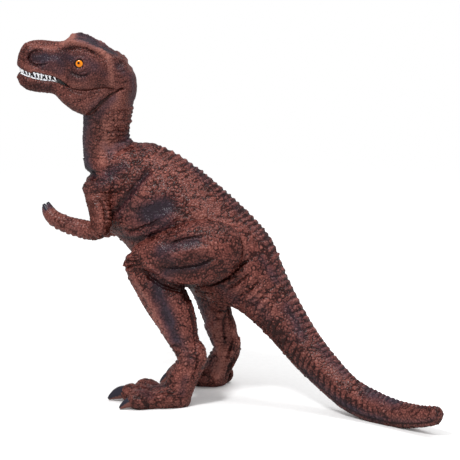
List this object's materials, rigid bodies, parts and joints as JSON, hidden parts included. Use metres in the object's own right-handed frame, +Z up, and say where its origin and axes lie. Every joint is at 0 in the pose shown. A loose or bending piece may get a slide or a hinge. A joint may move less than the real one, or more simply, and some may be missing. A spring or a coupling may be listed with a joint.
{
  "type": "toy dinosaur figure",
  "caption": "Standing young tyrannosaur toy figure in painted moulded vinyl, jaw slightly open, head turned aside, tail curved to the ground.",
  "frame": {"origin": "middle of the bounding box in plan, at the height of the soles", "axes": "+X towards the tail, the head points to -X; +Z up; the figure's left side is at -Y"},
  "size_m": [0.1564, 0.058, 0.1212],
  "materials": {
    "brown_vinyl": "satin",
    "steel": "satin"
  },
  "bodies": {
    "figure": {"torso": "brown_vinyl", "tail": "brown_vinyl", "head": "brown_vinyl", "arm_left": "brown_vinyl", "arm_right": "brown_vinyl", "leg_left": "brown_vinyl", "leg_right": "brown_vinyl"},
    "jaw": {"lower_jaw": "brown_vinyl", "jaw_pin": "steel"}
  },
  "joints": [
    {"name": "jaw_hinge", "type": "hinge", "parent": "figure", "child": "jaw", "pos_m": [-0.04902, -0.004, 0.1026], "axis": [0.3746, -0.9272, 0], "range_deg": [-0.5, 8]}
  ]
}
